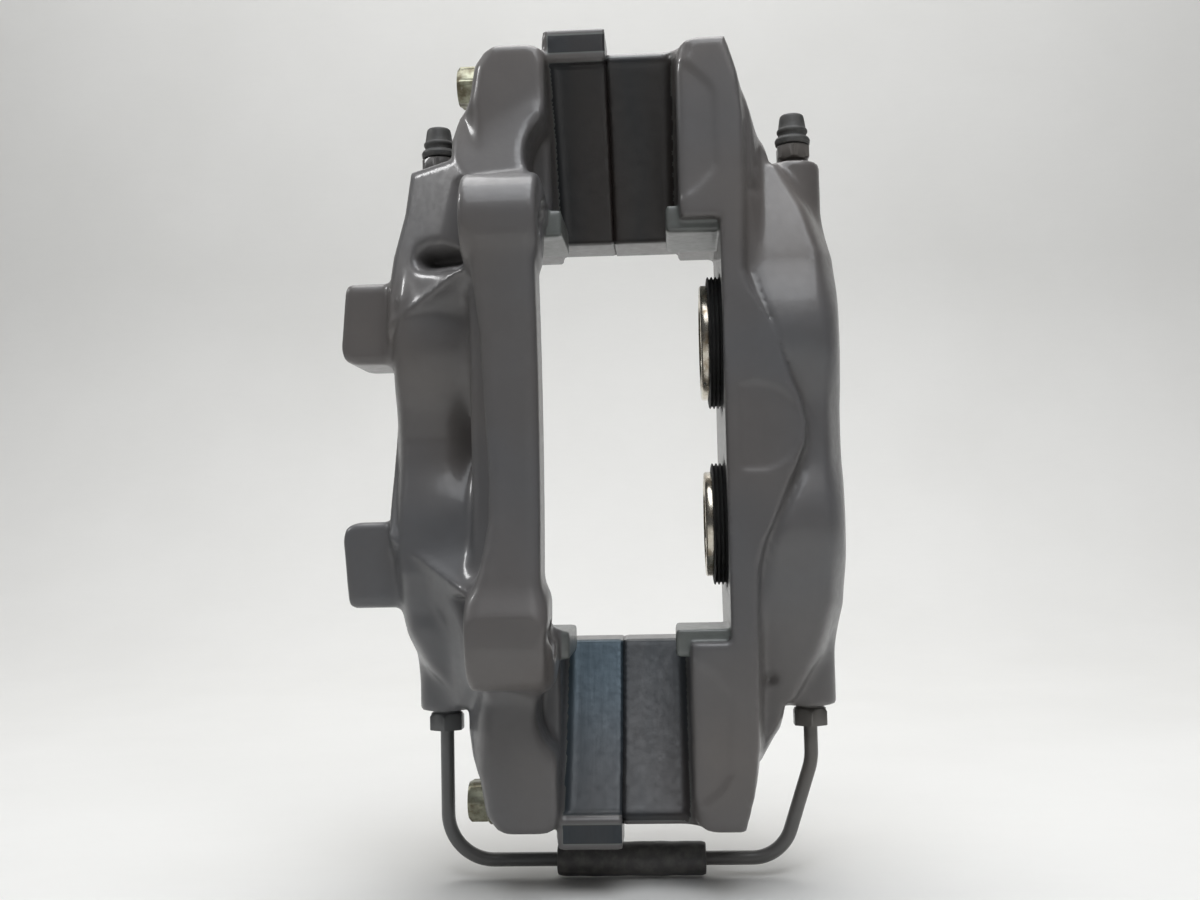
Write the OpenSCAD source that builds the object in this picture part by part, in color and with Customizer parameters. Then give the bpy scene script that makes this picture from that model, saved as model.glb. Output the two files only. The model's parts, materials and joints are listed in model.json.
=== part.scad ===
// Four-piston fixed brake caliper, two cast halves bolted together over the disc.
// Frame in use: +X outboard along the disc axis, +Y away from the hub, +Z up
// along the disc's edge to the bleed screws. All lengths are millimetres.
// Origin: middle of the two mounting holes, on the mounting face of the ears.
// "u" below is a distance from the middle plane of the disc, the same both ways.

/* [Disc space] */
// mounting face to the middle plane of the disc
disc_x = 48; // [35:0.5:60]
// hub axis below the origin along Y
hub_y = 101; // [90:1:120]
// half width of the channel the disc turns in
channel_half = 22; // [16:0.5:26]
// radius of the channel floor about the hub axis
floor_r = 176; // [172:0.5:184]
// largest radius of the caliper about the hub axis
outer_r = 198; // [192:0.5:206]
// where the halves meet, from the middle plane of the disc
split_u = 1.5; // [0:0.5:4]

/* [Pads] */
// pad face of the cylinders, from the middle plane of the disc
pad_u = 35.5; // [32:0.5:40]
// half height of the window between the bridges
window_z = 72.5; // [70:0.5:76]
// half height of the space cut for the pad plates
recess_z = 70; // [68:0.5:74]
// half distance between the pad abutments
abutment_z = 66; // [60:0.5:67]
// abutment face nearest to the disc
abutment_u = 17.5; // [16:0.5:20]

/* [Cylinders] */
// bore axis, above the origin along Y
bore_y = 39; // [34:0.5:46]
// bore axes, half their spacing
bore_z = 31.5; // [28:0.5:36]
// radius of the upper pistons
upper_r = 20; // [18:0.5:21]
// radius of the lower pistons
lower_r = 18; // [16:0.5:20]
// wall of the cylinder housings
housing_wall = 8; // [6:0.5:10]
// bottom of the bores
bore_floor_u = 67.5; // [64:0.5:70]
// gap between piston and bore, at the radius
running_gap = 0.05; // [0.02:0.01:0.1]
// piston length
piston_l = 26; // [22:0.5:28]
// tip of the outboard pistons
tip_out_u = 28.5; // [26:0.5:34]
// tip of the inboard pistons
tip_in_u = 32; // [26:0.5:34]

/* [Body] */
// front face of the halves, nearest to the hub
front_y = 11; // [6:0.5:16]
// half height of the halves
end_z = 131; // [124:0.5:136]
// half height at the two lips of the inboard half
lip_z = 137; // [134:0.5:138]
// outer face of the outboard half
face_out_u = 76.5; // [75.5:0.5:80]
// outer face of the inboard half
face_in_u = 78; // [78:0.5:82]

/* [Mounting ears] */
// half distance between the mounting holes
ear_z = 67.5; // [60:0.5:75]
// radius of the ear bosses
ear_r = 15.5; // [13:0.5:18]
// length of the ear bosses
ear_l = 25; // [20:0.5:28]
// radius of the mounting holes
ear_hole_r = 6; // [5:0.25:7]

/* [Bleed screws and pipe] */
// screws and pipe nuts, from the middle plane of the disc
port_u = 63; // [61:0.5:66]
// their distance above the origin along Y
port_y = 42; // [38:0.5:46]
// faces of the port bosses
port_z = 94; // [90:0.5:98]
// across the flats of the bleed screws and the pipe nuts
port_hex = 11; // [10:0.5:12]
// radius of the pipe
pipe_r = 2.375; // [2:0.125:3]
// lowest run of the pipe
pipe_z = -146; // [-150:0.5:-142]

/* [Bridge bolts] */
// radius of the bolts
bolt_r = 4; // [4:0.5:6]
// outer pair, half distance
bolt_far_z = 124; // [116:0.5:124]
// outer pair, above the origin along Y
bolt_far_y = 34; // [32:0.5:42]
// inner pair, half distance
bolt_near_z = 88; // [84:0.5:92]
// inner pair, above the origin along Y
bolt_near_y = 64; // [60:0.5:68]
// across the flats of the heads
bolt_hex = 13; // [12:0.5:17]

/* [Hidden] */
$fn = 48;

// a little more than a cut needs, so that nothing thin is left
over = 1;
// overlap of two lengths of one piece, so that they join
skin = 0.01;
// outline of each half seen from the hub, from the channel to the outer face: [u, z]
outline_out = [
    [38.7, end_z], [42.5, 122], [48, 110.5], [53, 102], [54, 93],
    [70, 92], [72, 77], [75.5, 60], [face_out_u, 44],
];
outline_in = [
    [43, end_z], [46.5, 126.5], [48.5, 114], [52, 108], [54, 100], [54, 93],
    [70, 92], [72, 77], [76.3, 62], [face_in_u, 50],
];
// front strip of the outboard half, with its tongue at mid height
tongue = [
    [pad_u, 66], [41.5, 66], [41.5, 54], [43.6, 45.5], [47.2, 34.5], [53.4, 22.6], [58.7, 12.6],
    [60.1, 4.2], [59.3, -3.9], [56.6, -10.3], [49.7, -28], [45.1, -36.8], [43, -46], [42, -66], [pad_u, -66],
];
// where the front starts to slope back, and how much it goes back for each millimetre outward
slope_u = 44;
slope = 0.62;
// sweep end behind the largest radius
back_y = 112;
// shape of the surface that clears the wheel: [radius, u]
barrel = [[0, 84], [172, 84], [176, 78], [188, 62], [outer_r, 45], [outer_r, -10], [0, -10]];
// seats of the bolt heads, and the bottom of the tapped holes
bolt_seat_u = 46;
bolt_end_u = 29;
head_clear_r = 10;
// machined seats round the bleed screws and the pipe nuts
spot_r = 8.4;
// cast lugs on the inboard face: their end, and where each starts and stops along Z
lug_u = 96;
lugs = [[25, 54], [-57.7, -27.7]];
bolt_places = [
    for (s = [-1, 1]) [bolt_far_y, s * bolt_far_z],
    for (s = [-1, 1]) [bolt_near_y, s * bolt_near_z],
];
drill_r = 2.5;
port_thread_r = 5;
port_depth = 18;
seal_u = 42;
seal_w = 3.6;
seal_t = 3;
boot_bead_u = 35.7;
boot_bead_end_u = 38.3;
mouth_u = 38.7;
// largest radius of the two lips about the hub axis, and where they start along Z
lip_r = 192;
lip_foot_z = 116;
pipe_in_x = disc_x - port_u;
pipe_out_x = disc_x + port_u;
sleeve_x0 = 23;
sleeve_x1 = 74;
sleeve_r = 5.8;

// ---------- helpers ----------

// put a shape made in u on the outboard side (+1) or the inboard side (-1)
module side(s) {
    translate([disc_x, 0, 0])
        mirror([s < 0 ? 1 : 0, 0, 0])
            children();
}

// round bar along X (or u) from a to b
module bar_x(a, b, y, z, r) {
    translate([a, y, z])
        rotate([0, 90, 0])
            cylinder(h = b - a, r = r);
}

// flat shape drawn in u and z, swept from y0 to y1
module swept(y0, y1) {
    translate([0, y1, 0])
        rotate([90, 0, 0])
            linear_extrude(height = y1 - y0)
                children();
}

// box from one corner to the other
module box(a, b) {
    translate(a)
        cube(b - a);
}

// solid of revolution about a bore axis, drawn as [radius, u]
module turned(z, y = bore_y) {
    translate([0, y, z])
        rotate([0, 90, 0])
            rotate_extrude($fn = 64)
                children();
}

// inside of the wheel: everything in it clears the wheel
module wheel_clearance() {
    translate([0, -hub_y, 0])
        rotate([0, 90, 0])
            rotate_extrude($fn = 180)
                polygon(barrel);
}

function mirrored_z(points) = concat(points, [for (i = [len(points) - 1:-1:0]) [points[i][0], -points[i][1]]]);

// ---------- the two castings ----------

// outline closed along the split face, which lies at u = split
module closed_outline(outline, split) {
    polygon(concat([[split, end_z]], mirrored_z(outline), [[split, -end_z]]));
}

// what is cut away in front of the slope
module front_slope() {
    reach = 50;
    translate([0, 0, -end_z - over])
        linear_extrude(height = 2 * (end_z + over))
            polygon([[slope_u, front_y - over], [slope_u, front_y], [slope_u + reach, front_y + reach * slope],
                [slope_u + reach, front_y - over]]);
}

// housing of one cylinder, its outer edge rounded
module housing(z, r, face_u) {
    edge_r = 11;
    turned(z)
        union() {
            translate([0, pad_u - 10])
                square([r - edge_r, face_u - pad_u + 10]);
            translate([0, pad_u - 10])
                square([r, face_u - edge_r - pad_u + 10]);
            translate([r - edge_r, face_u - edge_r])
                circle(edge_r);
        }
}

// boss for a bleed screw or a pipe nut, on the end of the housing
module port_boss(s) {
    boss_r = 9;
    foot_z = 50;
    web_back = 14;
    mirror([0, 0, s < 0 ? 1 : 0]) {
        translate([port_u, port_y, foot_z])
            cylinder(h = port_z - foot_z, r = boss_r);
        box([port_u - boss_r, port_y, foot_z], [port_u + boss_r, port_y + web_back, port_z - 1]);
    }
}

module casting(outline, face_u, split) {
    intersection() {
        union() {
            difference() {
                swept(front_y, back_y)
                    closed_outline(outline, split);
                front_slope();
            }
            housing(bore_z, upper_r + housing_wall, face_u);
            housing(-bore_z, lower_r + housing_wall, face_u);
            port_boss(1);
            port_boss(-1);
        }
        wheel_clearance();
    }
}

// blocks the pad plates slide on
module abutments() {
    block_y0 = 16;
    block_y1 = 50;
    root = 5;
    for (s = [-1, 1])
        mirror([0, 0, s < 0 ? 1 : 0])
            box([abutment_u, block_y0, abutment_z], [pad_u + 1, block_y1, recess_z + root]);
}

// flat disc about the hub axis, between two planes across that axis
module about_hub(u0, u1, r) {
    translate([u0, -hub_y, 0])
        rotate([0, 90, 0])
            cylinder(h = u1 - u0, r = r, $fn = 180);
}

module disc_channel() {
    about_hub(-channel_half, channel_half, floor_r);
}

module pad_space() {
    below_y = -60;
    box([-channel_half, below_y, -window_z], [channel_half, back_y + over, window_z]);
    box([-channel_half, below_y, -recess_z], [pad_u, back_y + over, recess_z]);
}

// stepped bore: boot seat, running length, seal groove
module bore(z, r) {
    mouth_step = 4.5;
    groove_room = 0.1;
    turned(z)
        union() {
            translate([0, pad_u - over])
                square([r + running_gap, bore_floor_u - pad_u + over]);
            translate([0, pad_u - over])
                square([r + mouth_step, mouth_u - pad_u + over]);
            translate([0, seal_u])
                square([r + seal_t + groove_room, seal_w]);
        }
}

// threaded port at each end of the fluid drilling, with a conical seat
module fluid_ports() {
    seat_h = 3;
    spot_room = 20;
    translate([port_u, port_y, -port_z - over])
        cylinder(h = 2 * (port_z + over), r = drill_r);
    for (s = [-1, 1])
        mirror([0, 0, s < 0 ? 1 : 0])
            translate([port_u, port_y, port_z - port_depth]) {
                cylinder(h = port_depth + over, r = port_thread_r + running_gap);
                translate([0, 0, -seat_h])
                    cylinder(h = seat_h + skin, r1 = drill_r, r2 = port_thread_r + running_gap);
                translate([0, 0, port_depth])
                    cylinder(h = spot_room, r = spot_r);
            }
}

module bolt_holes(r, u0, u1) {
    for (p = bolt_places)
        bar_x(u0, u1, p[0], p[1], r);
}

module cuts() {
    bore(bore_z, upper_r);
    bore(-bore_z, lower_r);
    fluid_ports();
}

module outboard_half() {
    tongue_depth = 26;
    color([0.36, 0.35, 0.35])
        side(1)
            difference() {
                union() {
                    difference() {
                        union() {
                            casting(outline_out, face_out_u, -split_u);
                            swept(front_y, front_y + tongue_depth)
                                polygon(tongue);
                        }
                        disc_channel();
                        pad_space();
                    }
                    abutments();
                }
                cuts();
                bolt_holes(bolt_r + running_gap, -split_u - over, bolt_end_u);
                badge_recess();
            }
}

// shallow plain patch on the tongue, straight on the disc side and round outside
module badge_recess() {
    patch_r = 14;
    patch_centre = [45.5, 1.5];
    patch_edge_u = 39.7;
    patch_depth = 0.6;
    swept(front_y - over, front_y + patch_depth)
        intersection() {
            translate(patch_centre)
                circle(patch_r);
            translate([patch_edge_u, -2 * patch_r])
                square(4 * patch_r);
        }
}

// cast lug on the inboard face, corners rounded
module lug(z0, z1) {
    corner = 6;
    root_u = 56;
    lug_y0 = 26;
    lug_y1 = 54;
    swept(lug_y0, lug_y1)
        union() {
            translate([root_u, z0 + corner])
                square([lug_u - root_u, z1 - z0 - 2 * corner]);
            translate([root_u, z0])
                square([lug_u - corner - root_u, z1 - z0]);
            for (z = [z0 + corner, z1 - corner])
                translate([lug_u - corner, z])
                    circle(corner);
        }
}

// ears, their feet on the casting and the beam between them
module ears() {
    beam_x0 = 5.3;
    beam_x1 = 23;
    beam_front = -12;
    beam_back = 9;
    beam_edge = 5;
    foot_in_z = 13;
    foot_y = front_y + 8;
    web_x0 = 0;
    web_y0 = 4;
    for (s = [-1, 1]) {
        bar_x(0, ear_l, 0, s * ear_z, ear_r);
        mirror([0, 0, s < 0 ? 1 : 0])
            box([0, 0, ear_z - foot_in_z], [ear_l - 2, foot_y, ear_z + ear_r]);
    }
    box([beam_x0, beam_front + beam_edge, -ear_z], [beam_x1, beam_back, ear_z]);
    box([beam_x0 + beam_edge, beam_front, -ear_z], [beam_x1 - beam_edge, beam_back, ear_z]);
    for (x = [beam_x0 + beam_edge, beam_x1 - beam_edge])
        translate([x, beam_front + beam_edge, -ear_z])
            cylinder(h = 2 * ear_z, r = beam_edge);
    box([web_x0, web_y0, -ear_z], [disc_x - pad_u, foot_y, ear_z]);
}

// fin from the beam to the side of a cylinder housing
module gusset(s) {
    fin_r = 6;
    corners = [[8, -3, 54], [-23, 20, 40], [2, 20, 46]];
    hull()
        for (c = corners)
            translate([c[0], c[1], s * c[2]])
                sphere(r = fin_r, $fn = 24);
}

// ends of the bridge, which follow the channel floor past the ends of the casting
module lips() {
    intersection() {
        about_hub(split_u, channel_half, lip_r);
        for (s = [-1, 1])
            mirror([0, 0, s < 0 ? 1 : 0])
                box([split_u, 0, lip_foot_z], [channel_half, back_y, lip_z]);
    }
}

module inboard_half() {
    bolt_clear = 0.3;
    color([0.36, 0.35, 0.35])
        difference() {
            union() {
                side(-1)
                    difference() {
                        union() {
                            casting(outline_in, face_in_u, split_u);
                            lips();
                            for (z = lugs)
                                lug(z[0], z[1]);
                        }
                        disc_channel();
                        pad_space();
                    }
                side(-1)
                    abutments();
                ears();
                gusset(1);
                gusset(-1);
            }
            side(-1) {
                cuts();
                bolt_holes(bolt_r + bolt_clear, split_u - over, bolt_seat_u + over);
                bolt_holes(head_clear_r, bolt_seat_u, lug_u);
                hose_port();
            }
            for (s = [-1, 1])
                bar_x(-over, ear_l + over, 0, s * ear_z, ear_hole_r);
        }
}

// threaded inlet for the brake hose, into the fluid drilling
module hose_port() {
    hose_thread_r = 4.5;
    hose_seat_u = port_u + 4;
    bar_x(hose_seat_u, face_in_u + over, port_y, 0, hose_thread_r);
    bar_x(port_u, hose_seat_u + over, port_y, 0, drill_r);
}

// ---------- pistons, seals and boots ----------

module piston(z, r, tip_u) {
    wall = 4;
    cup_depth = 18;
    groove_start = 2.2;
    groove_w = 2.4;
    groove_depth = 1.3;
    chamfer = 0.8;
    end_u = tip_u + piston_l;
    color([0.8, 0.78, 0.72])
        turned(z)
            difference() {
                translate([0, tip_u])
                    square([r, piston_l]);
                translate([0, tip_u - over])
                    square([r - wall, cup_depth + over]);
                translate([r - groove_depth, tip_u + groove_start])
                    square([groove_depth + over, groove_w]);
                polygon([[r - chamfer, end_u + over], [r - chamfer, end_u], [r, end_u - chamfer],
                    [r + over, end_u - chamfer], [r + over, end_u + over]]);
            }
}

module seal(z, r) {
    side_gap = 0.1;
    color([0.1, 0.1, 0.1])
        turned(z)
            translate([r + running_gap, seal_u + side_gap])
                square([seal_t - running_gap, seal_w - 2 * side_gap]);
}

// rubber boot: bead in the bore mouth, one fold, lip in the piston groove
module boot(z, r, tip_u) {
    front_u = tip_u + 2.5;
    wall = 1.1;
    bead_r = r + 4.2;
    outer_wall_r = r + 3.2;
    inner_wall_r = r + 2;
    lip_in_r = r - 1;
    color([0.08, 0.08, 0.08])
        turned(z)
            polygon([
                [inner_wall_r, boot_bead_end_u], [bead_r, boot_bead_end_u], [bead_r, boot_bead_u],
                [outer_wall_r, boot_bead_u], [outer_wall_r, front_u], [lip_in_r, front_u],
                [lip_in_r, front_u + wall], [inner_wall_r, front_u + wall],
            ]);
}

module piston_out_upper() side(1) piston(bore_z, upper_r, tip_out_u);
module piston_out_lower() side(1) piston(-bore_z, lower_r, tip_out_u);
module piston_in_upper() side(-1) piston(bore_z, upper_r, tip_in_u);
module piston_in_lower() side(-1) piston(-bore_z, lower_r, tip_in_u);
module seal_out_upper() side(1) seal(bore_z, upper_r);
module seal_out_lower() side(1) seal(-bore_z, lower_r);
module seal_in_upper() side(-1) seal(bore_z, upper_r);
module seal_in_lower() side(-1) seal(-bore_z, lower_r);
module boot_out_upper() side(1) boot(bore_z, upper_r, tip_out_u);
module boot_out_lower() side(1) boot(-bore_z, lower_r, tip_out_u);
module boot_in_upper() side(-1) boot(bore_z, upper_r, tip_in_u);
module boot_in_lower() side(-1) boot(-bore_z, lower_r, tip_in_u);

// ---------- bolts, bleed screws, caps ----------

// radius of the circle through the corners of a hexagon
function hex_r(flats) = flats / 2 / cos(30);

module bridge_bolts() {
    head_h = 8;
    washer_h = 1.2;
    washer_r = 8;
    end_gap = 3;
    seat_x = disc_x - bolt_seat_u;
    color([0.7, 0.66, 0.45])
        for (p = bolt_places) {
            bar_x(seat_x, disc_x + bolt_end_u - end_gap, p[0], p[1], bolt_r);
            bar_x(seat_x - washer_h, seat_x, p[0], p[1], washer_r);
            translate([seat_x - head_h, p[0], p[1]])
                rotate([0, 90, 0])
                    cylinder(h = head_h, r = hex_r(bolt_hex), $fn = 6);
        }
}

// bleed screw: conical seat, thread, hex and nipple, with its drilling
module bleed_screw(s) {
    // heights from the face of the port boss
    cone_z = -port_depth - 1;
    thread_z = -port_depth + 2;
    thread_end_z = -0.5;
    hex_z = 2;
    hex_h = 5;
    ridge_z = 11;
    ridge_end_z = 12.5;
    top_z = 14.5;
    neck_r = 3.8;
    nipple_r = 2.7;
    ridge_r = 3.3;
    top_r = 2.4;
    drilling_r = 1;
    cross_z = -port_depth + 6;
    color([0.62, 0.6, 0.55])
        translate([disc_x + s * port_u, port_y, port_z])
            difference() {
                union() {
                    translate([0, 0, thread_z])
                        cylinder(h = thread_end_z - thread_z, r = port_thread_r);
                    translate([0, 0, cone_z])
                        cylinder(h = thread_z - cone_z, r1 = 2, r2 = 4);
                    translate([0, 0, thread_end_z - over])
                        cylinder(h = hex_z - thread_end_z + 2 * over, r = neck_r);
                    translate([0, 0, hex_z])
                        cylinder(h = hex_h, r = hex_r(port_hex), $fn = 6);
                    cylinder(h = ridge_end_z, r = nipple_r);
                    translate([0, 0, ridge_z])
                        cylinder(h = ridge_end_z - ridge_z, r = ridge_r);
                    translate([0, 0, ridge_end_z])
                        cylinder(h = top_z - ridge_end_z, r1 = ridge_r, r2 = top_r);
                }
                translate([0, 0, cross_z - drilling_r])
                    cylinder(h = top_z - cross_z + drilling_r + over, r = drilling_r);
                translate([-2 * port_thread_r, 0, cross_z])
                    rotate([0, 90, 0])
                        cylinder(h = 4 * port_thread_r, r = drilling_r);
            }
}

module bleed_screw_in() bleed_screw(-1);
module bleed_screw_out() bleed_screw(1);

// rubber cap: flared skirt, ridge and tapered top, hollow over the nipple
module bleed_cap(s) {
    color([0.2, 0.2, 0.19])
        translate([disc_x + s * port_u, port_y, port_z + 7.3])
            rotate_extrude($fn = 48)
                polygon([
                    [3.7, 0], [6, 0], [6.2, 1.6], [5.7, 2.6], [4.9, 3.1], [4.9, 4], [5.3, 4.4], [5.3, 5.4],
                    [4.9, 5.9], [4.2, 10.4], [3.7, 10.9], [0, 10.9], [0, 8], [3.7, 8],
                ]);
}

module bleed_cap_in() bleed_cap(-1);
module bleed_cap_out() bleed_cap(1);

// ---------- crossover pipe ----------

// where the flare of each pipe end starts, inside its port
pipe_end_z = -port_z + 13;
// pipe centreline seen from the hub: [x, z], and the bend radius at each corner
pipe_path = [
    [pipe_in_x, pipe_end_z + 0.5], [pipe_in_x, pipe_z], [100, pipe_z],
    [pipe_out_x, -113], [pipe_out_x, pipe_end_z + 0.5],
];
pipe_bends = [0, 16, 14, 20, 0];

function unit(v) = v / norm(v);
function turn_angle(a, b) = acos(min(1, max(-1, a * b)));
function setback(i) = pipe_bends[i] == 0 ? 0 : pipe_bends[i] * tan(turn_angle(way(i - 1), way(i)) / 2);
function way(i) = unit(pipe_path[i + 1] - pipe_path[i]);

// round bar from a point in x and z, along a direction in x and z
module stick(start, direction, length, r) {
    translate([start[0], port_y, start[1]])
        rotate([0, 90 - atan2(direction[1], direction[0]), 0])
            cylinder(h = length, r = r, $fn = 24);
}

module pipe_run(r) {
    last = len(pipe_path) - 1;
    // each straight length stops this far short of a bend, and a short band joins the two
    joint_gap = 0.1;
    band_l = 0.8;
    band_r = r + 0.02;
    for (i = [0:last - 1]) {
        a = pipe_path[i] + way(i) * (i > 0 ? setback(i) + joint_gap : 0);
        b = pipe_path[i + 1] - way(i) * (i < last - 1 ? setback(i + 1) + joint_gap : 0);
        stick(a, way(i), norm(b - a), r);
        if (i > 0)
            stick(pipe_path[i] + way(i) * (setback(i) - band_l / 2), way(i), band_l, band_r);
        if (i < last - 1)
            stick(pipe_path[i + 1] - way(i) * (setback(i + 1) + band_l / 2), way(i), band_l, band_r);
    }
    for (i = [1:last - 1]) {
        angle = turn_angle(way(i - 1), way(i));
        inward = unit(way(i) - way(i - 1));
        centre = pipe_path[i] + inward * pipe_bends[i] / cos(angle / 2);
        start = atan2(-inward[1], -inward[0]) - angle / 2;
        translate([centre[0], port_y, centre[1]])
            rotate([90, 0, 0])
                rotate([0, 0, start])
                    rotate_extrude(angle = angle, $fn = 96)
                        translate([pipe_bends[i], 0])
                            circle(r, $fn = 24);
    }
}

// pipe with a flare at each end, its bore open right through
module crossover_pipe() {
    bore_r = 1.6;
    color([0.4, 0.4, 0.4])
        difference() {
            union() {
                pipe_run(pipe_r);
                for (x = [pipe_in_x, pipe_out_x])
                    translate([x, port_y, pipe_end_z])
                        cylinder(h = 2.2, r1 = pipe_r + 0.02, r2 = 3.7, $fn = 24);
            }
            pipe_run(bore_r);
            for (x = [pipe_in_x, pipe_out_x])
                translate([x, port_y, pipe_end_z])
                    cylinder(h = 4, r = bore_r + 0.02, $fn = 24);
        }
}

module flare_nuts() {
    // heights from the face of the port boss
    hex_z = -7;
    hex_h = 6;
    thread_end_z = 12;
    color([0.42, 0.42, 0.41])
        for (x = [pipe_in_x, pipe_out_x])
            translate([x, port_y, -port_z])
                difference() {
                    union() {
                        translate([0, 0, hex_z])
                            cylinder(h = hex_h, r = hex_r(port_hex), $fn = 6);
                        translate([0, 0, hex_z + hex_h - skin])
                            cylinder(h = thread_end_z - hex_z - hex_h + skin, r = port_thread_r);
                    }
                    translate([0, 0, hex_z - over])
                        cylinder(h = thread_end_z - hex_z + 2 * over, r = pipe_r + running_gap);
                }
}

module pipe_sleeve() {
    color([0.25, 0.25, 0.25])
        difference() {
            bar_x(sleeve_x0, sleeve_x1, port_y, pipe_z, sleeve_r);
            bar_x(sleeve_x0 - over, sleeve_x1 + over, port_y, pipe_z, pipe_r + running_gap);
        }
}

inboard_half();
outboard_half();
piston_out_upper();
piston_out_lower();
piston_in_upper();
piston_in_lower();
seal_out_upper();
seal_out_lower();
seal_in_upper();
seal_in_lower();
boot_out_upper();
boot_out_lower();
boot_in_upper();
boot_in_lower();
bridge_bolts();
bleed_screw_in();
bleed_screw_out();
bleed_cap_in();
bleed_cap_out();
crossover_pipe();
flare_nuts();
pipe_sleeve();
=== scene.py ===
"""Looks of the four-piston brake caliper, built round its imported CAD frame.

The two castings are distance fields in millimetres turned into meshes: each has an
outline, a front surface given as a depth, and solid features added or cut. Turned
pieces are lathed, hexagons included, and the pipe is swept. Outer sizes and places
come from the CAD nodes that the pieces stand for, and the rest from the values
named below. "u" is the distance from the middle plane of the disc, the same both
ways.
"""

import json
import math

import bmesh
import bpy
import numpy as np
from mathutils import Matrix, Vector


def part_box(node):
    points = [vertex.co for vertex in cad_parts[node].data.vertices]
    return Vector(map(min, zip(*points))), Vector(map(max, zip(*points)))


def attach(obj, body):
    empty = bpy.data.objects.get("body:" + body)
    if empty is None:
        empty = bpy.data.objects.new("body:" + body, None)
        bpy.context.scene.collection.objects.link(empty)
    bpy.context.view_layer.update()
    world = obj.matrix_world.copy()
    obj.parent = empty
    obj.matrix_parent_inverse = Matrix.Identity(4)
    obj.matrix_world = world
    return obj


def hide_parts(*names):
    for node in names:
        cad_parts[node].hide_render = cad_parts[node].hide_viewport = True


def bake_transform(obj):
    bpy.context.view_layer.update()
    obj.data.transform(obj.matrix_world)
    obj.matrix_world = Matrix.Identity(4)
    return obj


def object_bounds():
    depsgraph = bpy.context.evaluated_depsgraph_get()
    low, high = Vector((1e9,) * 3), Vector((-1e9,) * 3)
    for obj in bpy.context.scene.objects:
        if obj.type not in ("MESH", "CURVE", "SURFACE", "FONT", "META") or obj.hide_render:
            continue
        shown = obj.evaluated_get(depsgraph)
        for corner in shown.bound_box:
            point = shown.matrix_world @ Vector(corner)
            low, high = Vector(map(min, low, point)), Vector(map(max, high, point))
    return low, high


MM = 0.001

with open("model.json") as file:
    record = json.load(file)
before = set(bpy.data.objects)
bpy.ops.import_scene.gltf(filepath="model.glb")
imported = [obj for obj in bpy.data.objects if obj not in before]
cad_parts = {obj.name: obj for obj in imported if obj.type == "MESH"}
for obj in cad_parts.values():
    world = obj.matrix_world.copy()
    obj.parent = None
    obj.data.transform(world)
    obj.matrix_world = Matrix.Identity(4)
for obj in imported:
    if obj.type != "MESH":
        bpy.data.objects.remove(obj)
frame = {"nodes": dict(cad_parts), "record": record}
cad_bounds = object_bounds()

# ---------------------------------------------------------------- dimensions, mm


def box_mm(node):
    """Lowest and highest corner of a CAD node, in millimetres."""
    low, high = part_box(node)
    return np.array(low) / MM, np.array(high) / MM


def centre_mm(node):
    low, high = box_mm(node)
    return (low + high) / 2


def radius_mm(node):
    """Radius of a round node that lies along X."""
    low, high = box_mm(node)
    return (high[1] - low[1]) / 2


IN_LOW, IN_HIGH = box_mm("inboard_half")
OUT_LOW, OUT_HIGH = box_mm("outboard_half")
PORT_X_IN, PORT_Y = centre_mm("bleed_cap_in")[:2]
PORT_X_OUT = centre_mm("bleed_cap_out")[0]
DISC_X = (PORT_X_IN + PORT_X_OUT) / 2
PORT_U = PORT_X_OUT - DISC_X
SCREW_L = 19.0
PORT_Z = box_mm("bleed_screw_in")[0][2] + SCREW_L
BORE_Y, BORE_Z = centre_mm("piston_out_upper")[1:]
UPPER_R = radius_mm("piston_out_upper")
LOWER_R = radius_mm("piston_out_lower")
PIPE_Z = centre_mm("pipe_sleeve")[2]
END_Z = OUT_HIGH[2]
LIP_Z = IN_HIGH[2]
FACE_OUT_U = OUT_HIGH[0] - DISC_X
LUG_U = DISC_X - IN_LOW[0]
FACE_IN_U = 78.0
SPLIT_U = 1.5
SPLIT_X = DISC_X - SPLIT_U
SEAM = 0.08
# disc channel, window and pad recess
HUB_Y = -101.0
FLOOR_R = 176.0
OUTER_R = 198.0
CHANNEL = 22.0
PAD_U = 35.5
FRONT_Y = 11.0
WINDOW_Z = 72.5
RECESS_Z = 70.0
ABUTMENT_Z = 66.0
ABUTMENT_U = 17.5
ABUTMENT_Y = (16.0, 50.0)
ABUTMENT_ROOT = 5.0
# bores: gap round the piston, boot seat and seal groove
RUNNING_GAP = 0.05
BORE_FLOOR_U = 67.5
HOUSING_WALL = 7.0
BOOT_SEAT_DEPTH = 4.5
BOOT_SEAT_END_U = 38.7
GROOVE_DEPTH = 3.1
GROOVE_U = (42.0, 45.6)
# mounting ears
EAR_Z = 67.5
EAR_R = 15.5
EAR_L = 25.0
EAR_HOLE_R = 6.0
# heights of the lugs above and below the middle, near side first
UPPER_LUG = (25.0, 54.0)
LOWER_LUG = (27.7, 57.7)
# ports of the bleed screws and of the pipe, and the hose inlet
BOSS_R = 9.0
SPOT_R = 8.4
PORT_HOLE_R = 5.05
PORT_HOLE_L = 18.0
DRILLING_R = 2.5
INLET_R = 4.5
INLET_U = PORT_U + 4
PORT_HEX = 11.0
PIPE_R = 2.375
# bridge bolts: places as y, z
BOLTS = [(34.0, 124.0), (64.0, 88.0)]
BOLT_R = 4.0
BOLT_HOLE_R = 4.3
BOLT_END_U = 29.0
BOLT_SEAT_U = 46.0
BOLT_HEX = 13.0
HEAD_H = 8.0
HEAD_CLEAR_R = 10.0

# ---------------------------------------------------------------- distance fields


def smooth_min(a, b, k):
    """Union of two fields with a fillet of about k."""
    h = np.maximum(k - np.abs(a - b), 0.0) / k
    return np.minimum(a, b) - h * h * k * 0.25


def smooth_max(a, b, k):
    """Intersection of two fields with a round edge of about k."""
    return -smooth_min(-a, -b, k)


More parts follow.
